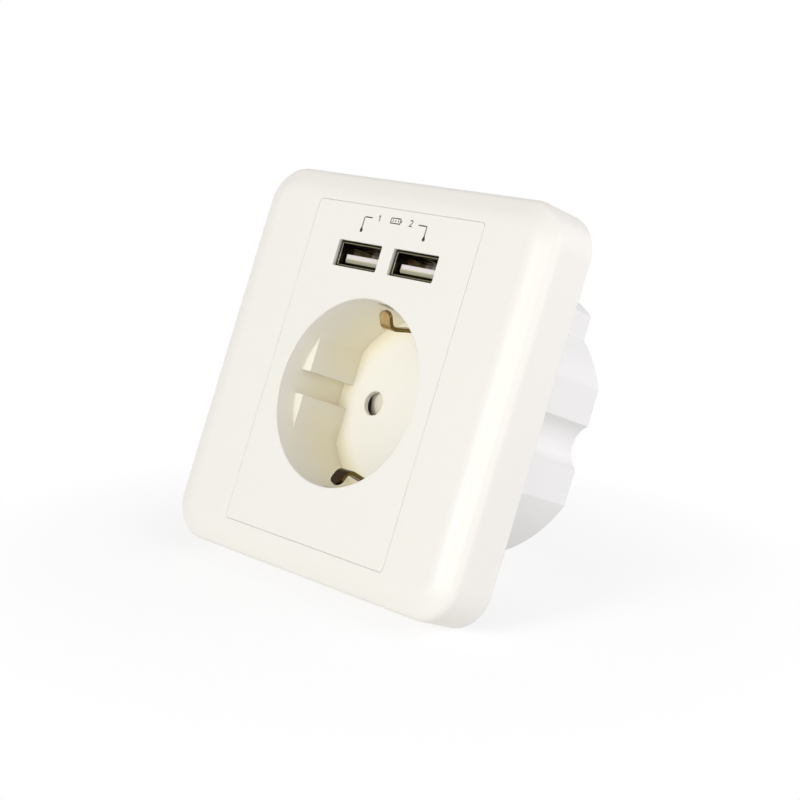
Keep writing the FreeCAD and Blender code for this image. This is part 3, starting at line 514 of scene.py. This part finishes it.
def capacitor_can():
    """Shrunk dark sleeve with a pale stripe, and the bare scored aluminium top."""
    skin = Finish("capacitor_sleeve")
    top = skin.y.above(26.0 * MM, 0.02 * MM)
    stripe = (skin.x * 300.0 + skin.z * 40.0).wave().above(0.93, 0.01)
    sleeve = skin.mix(stripe, (0.012, 0.02, 0.06), (0.42, 0.44, 0.48))
    skin.set(base_color=skin.mix(top, sleeve, (0.72, 0.73, 0.74)), metallic=top,
             roughness=0.3 + 0.1 * skin.noise(300.0),
             normal=skin.relief(skin.noise(900.0, 2.0), 0.01 * MM, skin.rounded(0.4 * MM)))
    return skin.material


def cement_barrel():
    """Cement-coated barrel with colour rings and tinned leads."""
    skin = Finish("cement_barrel")
    ring = (skin.x * 3600.0).wave().above(0.6, 0.1) * abs(skin.x).below(2.6 * MM)
    lead = abs(skin.x).above(3.55 * MM)
    coat = skin.mix(ring, (0.16, 0.30, 0.25), (0.35, 0.12, 0.03))
    skin.set(base_color=skin.mix(lead, coat, TINNED), metallic=lead,
             roughness=0.45 + 0.15 * skin.noise(600.0),
             normal=skin.relief(skin.noise(1200.0, 3.0), 0.04 * MM, skin.rounded(0.3 * MM)))
    return skin.material


def dipped_disc():
    """Disc dipped in blue lacquer, on two tinned legs."""
    skin = Finish("dipped_disc")
    leg = skin.y.below(16.6 * MM)
    flow = skin.noise(260.0, 2.0)
    coat = skin.mix(flow, (0.015, 0.09, 0.30), (0.03, 0.15, 0.42))
    skin.set(base_color=skin.mix(leg, coat, TINNED), metallic=leg, coat_weight=0.5,
             roughness=0.2 + 0.1 * flow, normal=skin.relief(flow, 0.06 * MM, skin.rounded(0.3 * MM)))
    return skin.material


def wound_drum():
    """Enamelled copper turns between two dark ferrite flanges."""
    skin = Finish("wound_drum")
    wire = skin.y.above(16.2 * MM) * skin.y.below(21.2 * MM)
    turn = (skin.y * 15000.0).wave()
    copper = skin.mix(turn.above(0.0, 1.6), (0.20, 0.06, 0.02), (0.75, 0.33, 0.13))
    skin.set(base_color=skin.mix(wire, (0.05, 0.05, 0.055), copper), metallic=wire,
             roughness=0.3 + 0.25 * (1.0 - wire),
             normal=skin.relief(turn * wire, 0.1 * MM, skin.rounded(0.2 * MM)))
    return skin.material


# The finish of each material slot in the record.
FINISHES = {
    "face_plastic": face_plastic, "shutter_plastic": shutter_plastic, "housing_plastic": housing_plastic,
    "base_plastic": base_plastic, "zinc_steel": zinc_steel, "spring_strip": spring_strip,
    "bronze_strip": bronze_strip, "contact_brass": contact_brass, "port_shell": port_shell,
    "tongue_plastic": tongue_plastic, "gold": gold_contact, "board": lacquered_board,
    "black_plastic": black_plastic, "ferrite": ferrite, "winding_tape": winding_tape,
    "can": capacitor_can, "resistor_body": cement_barrel, "disc_body": dipped_disc,
    "copper_winding": wound_drum,
}


def dress_nodes():
    """Gives each CAD node the finish of its material slot, and returns the materials by slot."""
    made = {slot: build() for slot, build in FINISHES.items()}
    for part in RECORD["subparts"]:
        node = NODES[part["node"]]
        node.data.materials.clear()
        node.data.materials.append(made[part["material_slot"]])
    return made


def linked(name, data):
    """A new object in the scene with the given mesh, camera or lamp."""
    made = bpy.data.objects.new(name, data)
    bpy.context.scene.collection.objects.link(made)
    return made


def mesh_piece(name, verts, faces, material):
    mesh = bpy.data.meshes.new(name)
    mesh.from_pydata([tuple(v) for v in verts], [], faces)
    mesh.update()
    mesh.materials.append(material)
    return linked(name, mesh)


def carried(piece, body):
    """Lets a piece ride on a body."""
    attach(piece, body)
    return piece


def outward(piece):
    """Turns the faces of a closed mesh outwards."""
    shape = bmesh.new()
    shape.from_mesh(piece.data)
    bmesh.ops.recalc_face_normals(shape, faces=shape.faces)
    shape.to_mesh(piece.data)
    shape.free()


def stroke(points, width):
    """Flat line of print through (x, z) points: the corners and faces of one closed strip."""
    half = width / 2
    places = [Vector(point) * MM for point in points]
    verts, faces = [], []
    for i, place in enumerate(places):
        before = (place - places[i - 1]).normalized() if i else (places[1] - place).normalized()
        after = (places[i + 1] - place).normalized() if i < len(places) - 1 else before
        side = (Vector((-before.y, before.x)) + Vector((-after.y, after.x))).normalized()
        reach = side * half / max(SHARPEST_MITRE, side.dot(Vector((-before.y, before.x))))
        for y in PRINT_FACES:
            for end in (place + reach, place - reach):
                verts.append(Vector((end.x, y, end.y)))
    for i in range(len(places) - 1):
        a, b = 4 * i, 4 * i + 4
        faces += [(a, a + 1, b + 1, b), (a + 2, b + 2, b + 3, a + 3), (a, b, b + 2, a + 2),
                  (a + 1, a + 3, b + 3, b + 1)]
    last = 4 * len(places) - 4
    faces += [(0, 2, 3, 1), (last, last + 1, last + 3, last + 2)]
    return verts, faces


def arc(centre, radius, start, end, steps=10):
    """Points round a centre between two angles in degrees."""
    turns = [math.radians(start + (end - start) * i / steps) for i in range(steps + 1)]
    return [(centre[0] + radius * math.cos(t), centre[1] + radius * math.sin(t)) for t in turns]


def dot(centre, radius, tail):
    """Teardrop under a bracket line: a round spot whose top narrows into the line."""
    rim = arc(centre, radius, 140.0, 400.0, 24) + [(centre[0], centre[1] + tail)]
    count = len(rim)
    verts = [Vector((x * MM, y, z * MM)) for y in PRINT_FACES for x, z in rim]
    faces = [tuple(range(count)), tuple(range(2 * count - 1, count - 1, -1))]
    faces += [(i, count + i, count + (i + 1) % count, (i + 1) % count) for i in range(count)]
    return verts, faces


def printed(name, shapes, ink):
    """One piece of print made of several strokes and dots."""
    verts, faces = [], []
    for more_verts, more_faces in shapes:
        start = len(verts)
        verts += more_verts
        faces += [tuple(start + i for i in face) for face in more_faces]
    piece = mesh_piece(name, verts, faces, ink)
    outward(piece)
    return carried(piece, "housing")


def add_brackets(ink):
    """A line from above each port towards the middle, with a dot at its foot."""
    for side, line in BRACKETS.items():
        sign = math.copysign(1.0, line["post"])
        foot = (line["post"], line["low"])
        corner = (line["post"] - sign * BRACKET_BEND, line["top"] - BRACKET_BEND)
        bend = arc(corner, BRACKET_BEND, 90.0, 90.0 - sign * 90.0)
        route = [(line["stub"], line["top"])] + bend + [foot]
        printed(side + "_bracket", [stroke(route, BRACKET_WIDTH), dot(foot, DOT_RADIUS, DOT_TAIL)], ink)


def add_port_numbers(ink):
    """A plain 1 and a plain 2 beside the brackets."""
    one = [(-5.3, 34.15), (-4.95, 34.45), (-4.95, 33.15)]
    two = arc((4.5, 34.1), 0.36, 165.0, -30.0, 12) + [(4.12, 33.17), (4.9, 33.17)]
    for side, route in (("left", one), ("right", two)):
        printed(side + "_port_number", [stroke(route, MARK_WIDTH)], ink)


def add_charge_mark(ink):
    """A small battery between the port numbers: its case, its tip and three bars."""
    left, right, low, high = -1.5, 1.3, 33.25, 34.35
    case = [(left, high), (right, high), (right, low), (left, low), (left, high)]
    bars = [[(x, 34.05), (x, 33.55)] for x in (1.6, -0.9, -0.1, 0.7)]
    printed("charge_mark", [stroke(route, MARK_WIDTH) for route in [case] + bars], ink)


def new_group(name, **inputs):
    """Geometry Nodes group with the given named inputs: its nodes and its input sockets."""
    group = bpy.data.node_groups.new(name, "GeometryNodeTree")
    for label, kind in inputs.items():
        group.interface.new_socket(name=label, in_out="INPUT", socket_type="NodeSocket" + kind)
    group.interface.new_socket(name="Geometry", in_out="OUTPUT", socket_type="NodeSocketGeometry")
    nodes = Nodes(group)
    return nodes, nodes.node("NodeGroupInput").outputs


def end_group(nodes, geometry, material):
    """Makes the result plain mesh with its material, as the group's output."""
    whole = nodes.node("GeometryNodeRealizeInstances", values={"Geometry": geometry})
    dressed = nodes.node("GeometryNodeSetMaterial",
                         values={"Geometry": whole.outputs[0], "Material": material})
    nodes.node("NodeGroupOutput", values={"Geometry": dressed.outputs[0]})
    return nodes.tree


def coil_group():
    """Helix of wire or thread from its start point, along Z before it leans."""
    nodes, given = new_group("coil", Turns="Float", Radius="Float", Length="Float", Wire="Float",
                             Sides="Int", Start="Vector", Lean="Vector", Material="Material")
    spiral = nodes.node("GeometryNodeCurveSpiral", values={
        "Resolution": 28, "Rotations": given["Turns"], "Start Radius": given["Radius"],
        "End Radius": given["Radius"], "Height": given["Length"]})
    section = nodes.node("GeometryNodeCurvePrimitiveCircle",
                         values={"Resolution": given["Sides"], "Radius": given["Wire"]})
    tube = nodes.node("GeometryNodeCurveToMesh", values={
        "Curve": spiral.outputs[0], "Profile Curve": section.outputs[0], "Fill Caps": True})
    laid = nodes.node("GeometryNodeTransform", values={
        "Geometry": tube.outputs[0], "Translation": given["Start"], "Rotation": given["Lean"]})
    return end_group(nodes, laid.outputs[0], given["Material"])


def bead_group():
    """Row of solder beads on a board, each sized a little differently by a fixed seed."""
    nodes, given = new_group("beads", Count="Int", Step="Vector", Start="Vector", Radius="Float",
                             Seed="Int", Material="Material")
    row = nodes.node("GeometryNodeMeshLine", {"mode": "OFFSET"}, {
        "Count": given["Count"], "Start Location": given["Start"], "Offset": given["Step"]})
    ball = nodes.node("GeometryNodeMeshUVSphere",
                      values={"Segments": 14, "Rings": 8, "Radius": given["Radius"]})
    size = nodes.node("FunctionNodeRandomValue", values={
        RANDOM_LOW: BEAD_SMALLEST, RANDOM_HIGH: BEAD_LARGEST, "Seed": given["Seed"]})
    width = size.outputs[RANDOM_RESULT]
    flat = nodes.node("ShaderNodeCombineXYZ", values={"X": width, "Y": BEAD_HEIGHT, "Z": width})
    spread = nodes.node("GeometryNodeInstanceOnPoints", values={
        "Points": row.outputs[0], "Instance": ball.outputs[0], "Scale": flat.outputs[0]})
    return end_group(nodes, spread.outputs[0], given["Material"])


def grown(name, group, body, slot, **values):
    """Runs a Geometry Nodes group with the given inputs and keeps the plain mesh that it makes."""
    seed = linked(name + "_seed", bpy.data.meshes.new(name + "_seed"))
    modifier = seed.modifiers.new("grow", "NODES")
    modifier.node_group = group
    for item in group.interface.items_tree:
        if item.in_out == "INPUT":
            modifier[item.identifier] = values[item.name]
    graph = bpy.context.evaluated_depsgraph_get()
    mesh = bpy.data.meshes.new_from_object(seed.evaluated_get(graph))
    bpy.data.objects.remove(seed)
    mesh.name = name
    piece = linked(name, mesh)
    outward(piece)
    mesh.shade_smooth()
    return carried(piece, body)


def add_choke_turns(coil):
    """Enamelled wire round the middle of the choke's bobbin."""
    low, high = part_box("filter_choke")
    middle, length = (low + high) / 2, CHOKE_TURNS * CHOKE_PITCH
    grown("choke_turns", coil, "housing", "copper_winding",
          Turns=float(CHOKE_TURNS), Radius=CHOKE_RADIUS, Length=length, Wire=CHOKE_WIRE, Sides=8,
          Start=(middle.x, middle.y - length / 2, middle.z), Lean=ALONG_Y, Material=enamelled_wire())


def add_threads(coil, zinc):
    """The crest of each terminal screw's thread."""
    for pole in ("line", "earth", "neutral"):
        low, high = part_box(pole + "_screw")
        middle = (low + high) / 2
        grown(pole + "_thread", coil, pole + "_screw", "zinc_steel",
              Turns=float(THREAD_TURNS), Radius=THREAD_RADIUS, Length=THREAD_TURNS * THREAD_PITCH,
              Wire=THREAD_CREST, Sides=4, Start=(middle.x, low.y + THREAD_START, middle.z), Lean=ALONG_Y,
              Material=zinc)


def add_spring(coil, strip):
    """The shutter's coil spring, in place of the CAD spring, which it hides."""
    low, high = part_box("shutter_spring")
    middle = (low + high) / 2
    spring = grown("shutter_coil", coil, "housing", "spring_strip",
                   Turns=float(SPRING_TURNS), Radius=(high.x - low.x) / 2 - SPRING_WIRE,
                   Length=high.z - low.z - 3.0 * SPRING_WIRE, Wire=SPRING_WIRE, Sides=10,
                   Start=(middle.x, middle.y, low.z + 1.5 * SPRING_WIRE), Lean=(0.0, 0.0, 0.0),
                   Material=strip)
    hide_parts("shutter_spring")
    seat = Vector((middle.x, middle.y, SPRING_SEAT_Z))
    1.0 - SHUTTER_RISE / (seat.z - low.z)
    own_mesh(spring)


def add_beads():
    """Solder round the header's pins, on the front of both boards."""
    beads, metal = bead_group(), solder()
    low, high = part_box("header_pins")
    middle, step = (low + high) / 2, (high.x - low.x - HEADER_PIN_SIDE) / (HEADER_PINS - 1)
    start_x = middle.x - step * (HEADER_PINS - 1) / 2
    front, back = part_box("usb_board")[0].y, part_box("power_board")[0].y
    for seed, (name, y) in enumerate((("front_joints", front), ("rear_joints", back))):
        grown(name, beads, "housing", "contact_brass", Count=HEADER_PINS, Step=(step, 0.0, 0.0),
              Start=(start_x, y, middle.z), Radius=BEAD_RADIUS, Seed=seed, Material=metal)


def add_camera():
    azimuth, elevation, roll = (math.radians(v) for v in (AZIMUTH, ELEVATION, ROLL))
    back = Vector((math.sin(azimuth) * math.cos(elevation), -math.cos(azimuth) * math.cos(elevation),
                   math.sin(elevation)))
    side = Vector((math.cos(azimuth), math.sin(azimuth), 0.0))
    above = back.cross(side)
    right = side * math.cos(roll) + above * math.sin(roll)
    up = above * math.cos(roll) - side * math.sin(roll)
    camera = linked("camera", bpy.data.cameras.new("camera"))
    camera.data.lens, camera.data.sensor_width = LENS, SENSOR
    camera.data.clip_start, camera.data.clip_end = 0.01, 20.0
    turn = Matrix((right, up, back)).transposed().to_4x4()
    camera.matrix_world = Matrix.Translation(AIM + back * DISTANCE) @ turn
    bpy.context.scene.camera = camera


def table_paper():
    """Pale paper that shows the object's shadow, fades to white away from it and is clear from below."""
    paper = Finish("table_paper")
    paper.set(base_color=(TABLE_TONE, TABLE_TONE, TABLE_TONE), roughness=0.9, specular_ior_level=0.0)

    def glow(strength):
        return paper.node("ShaderNodeEmission", values={"Color": WHITE, "Strength": strength}).outputs[0]

    def glowing(strength):
        parts = {0: paper.shader.outputs[0], 1: glow(strength)}
        return paper.node("ShaderNodeAddShader", values=parts).outputs[0]

    apart = paper.node("ShaderNodeVectorMath", {"operation": "LENGTH"}, {0: paper.place})
    far = Signal(paper, apart.outputs["Value"]).above(FADE_START, FADE_WIDTH)
    seen = paper.blended(far, glowing(TABLE_LIFT), glow(1.0))
    # Painted bounce light: for rays that don't see the background, the paper glows with TABLE_BOUNCE and
    # lights the object from below.
    upper = paper.blended(paper.background_rays(), glowing(TABLE_BOUNCE), seen)
    underside = paper.node("ShaderNodeNewGeometry").outputs["Backfacing"]
    clear = paper.node("ShaderNodeBsdfTransparent").outputs[0]
    paper.feed(paper.output.inputs["Surface"], paper.blended(underside, upper, clear))
    return paper.material


def add_table():
    """Flat table under the frame's lower edge and the housing, tilted as the object leans on them."""
    rise = math.atan2(FRAME_HALF - HOUSING_RADIUS, HOUSING_BACK)
    up = Vector((0.0, -math.sin(rise), math.cos(rise)))
    across = Vector((1.0, 0.0, 0.0))
    away = up.cross(across)
    middle = Vector((0.0, 0.0, -FRAME_HALF)) - up * TABLE_DROP
    corners = [middle + across * x * TABLE_HALF + away * y * TABLE_HALF
               for x, y in ((-1, -1), (1, -1), (1, 1), (-1, 1))]
    mesh_piece("table", corners, [(0, 1, 2, 3)], table_paper())


def add_lamp(name, towards, distance, size, power, tint):
    """Round area lamp in the given direction from the origin, which it faces."""
    place = Vector(towards).normalized() * distance
    lamp = linked(name, bpy.data.lights.new(name, "AREA"))
    lamp.data.shape, lamp.data.size, lamp.data.energy, lamp.data.color = "DISK", size, power, tint
    lamp.matrix_world = Matrix.Translation(place) @ place.to_track_quat("Z", "Y").to_matrix().to_4x4()


def add_world():
    """Soft even light, with a plain white background where it is seen."""
    world = bpy.data.worlds.new("studio")
    bpy.context.scene.world = world
    world.use_nodes = True
    sky = Nodes(world.node_tree)
    sky.tree.nodes.clear()
    light, backdrop = (
        sky.node("ShaderNodeBackground", values={"Color": WHITE, "Strength": strength}).outputs[0]
        for strength in (WORLD_STRENGTH, 1.0))
    mixed = sky.blended(sky.background_rays(), light, backdrop)
    sky.node("ShaderNodeOutputWorld", values={"Surface": mixed})


finishes = dress_nodes()
ink = print_ink()
add_brackets(ink)
add_port_numbers(ink)
add_charge_mark(ink)
coil = coil_group()
add_choke_turns(coil)
add_threads(coil, finishes["zinc_steel"])
add_spring(coil, finishes["spring_strip"])
add_beads()
add_camera()
add_table()
add_world()
for name, lamp in LAMPS.items():
    add_lamp(name, **lamp)
bpy.context.scene.view_settings.view_transform = "Standard"
